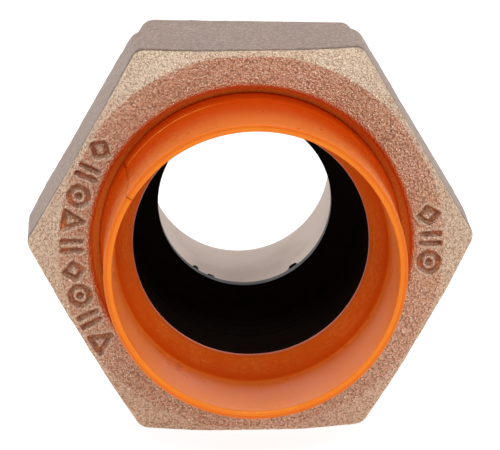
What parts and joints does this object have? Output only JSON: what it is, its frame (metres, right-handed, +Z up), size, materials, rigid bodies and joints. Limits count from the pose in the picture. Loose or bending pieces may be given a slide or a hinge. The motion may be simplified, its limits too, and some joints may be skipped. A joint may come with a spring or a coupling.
{
  "type": "push fit coupling",
  "caption": "Push-in coupling for corrugated tube: hexagonal cap nut with a split entry collar, hexagonal body with seals, and a male threaded tail.",
  "frame": {"origin": "centre of the body's shoulder, where the tail leaves the rear face of the hexagon", "axes": "+Y along the bore axis, out through the threaded tail; +Z up, square to the cap nut's top flat; +X to the right seen from the open collar"},
  "size_m": [0.0468, 0.0491, 0.041],
  "materials": {
    "gunmetal": "sand-cast, bead-blasted",
    "orange_plastic": "glossy moulded",
    "black_rubber": "smooth moulded rubber",
    "black_plastic": "satin moulded",
    "stainless": "stamped stainless"
  },
  "bodies": {
    "fitting": {"body": "gunmetal", "seal_washer": "stainless", "seal_sleeve": "black_rubber", "end_gasket": "black_rubber"},
    "slip_ring": {"thrust_washer": "stainless"},
    "nut": {"cap_nut": "gunmetal"},
    "sleeve": {"guide_sleeve": "black_plastic"},
    "collar": {"split_collar": "orange_plastic", "collar_spring": "stainless"}
  },
  "joints": [
    {"name": "nut_travel", "type": "slide", "parent": "fitting", "child": "slip_ring", "axis": [0, -1, 0], "range_m": [0, 0.00451]},
    {"name": "nut_turn", "type": "hinge", "parent": "slip_ring", "child": "nut", "pos_m": [0, -0.0173, 0], "axis": [0, -1, 0], "range_deg": [0, 1080]},
    {"name": "collar_push", "type": "slide", "parent": "slip_ring", "child": "sleeve", "axis": [0, 1, 0], "range_m": [0, 0.0018]},
    {"name": "collar_turn", "type": "hinge", "parent": "sleeve", "child": "collar", "pos_m": [0, -0.024, 0], "axis": [0, -1, 0], "continuous": true}
  ],
  "couplings": [
    {"joint": "nut_travel", "follows": "nut_turn", "m_per_rad": 0.00023873}
  ]
}
